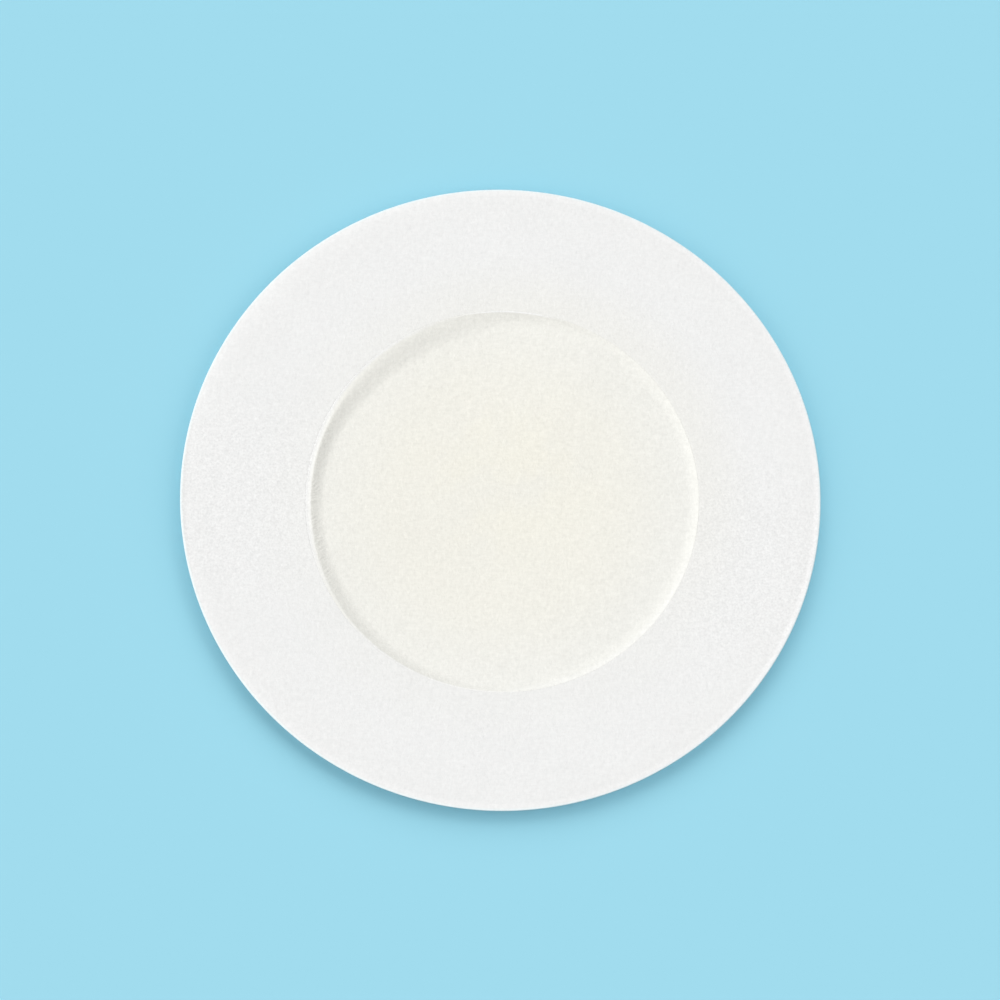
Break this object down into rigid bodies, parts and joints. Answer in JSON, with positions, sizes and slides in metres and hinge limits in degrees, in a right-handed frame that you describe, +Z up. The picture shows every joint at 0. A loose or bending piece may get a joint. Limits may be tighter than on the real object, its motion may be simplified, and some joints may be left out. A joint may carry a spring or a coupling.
{
  "type": "anti-itch patch",
  "caption": "Round adhesive skin patch: a white ring frames a recessed cream medicated pad on a thin backing sheet, lying skin side up.",
  "frame": {"origin": "centre of the underside of the backing sheet, on the surface that the patch lies on", "axes": "+Z is up out of the skin side, +X is the picture's right and +Y is its top"},
  "size_m": [0.038, 0.038, 0.001],
  "materials": {
    "ring_nonwoven": "matt white nonwoven with a fine pressed grain",
    "pad_nonwoven": "matt cream nonwoven soaked with the medicine, with a fine linen-like grain",
    "backing_nonwoven": "matt white thin nonwoven"
  },
  "bodies": {
    "root": {"adhesive_ring": "ring_nonwoven", "medicated_pad": "pad_nonwoven", "backing_sheet": "backing_nonwoven"}
  },
  "joints": []
}
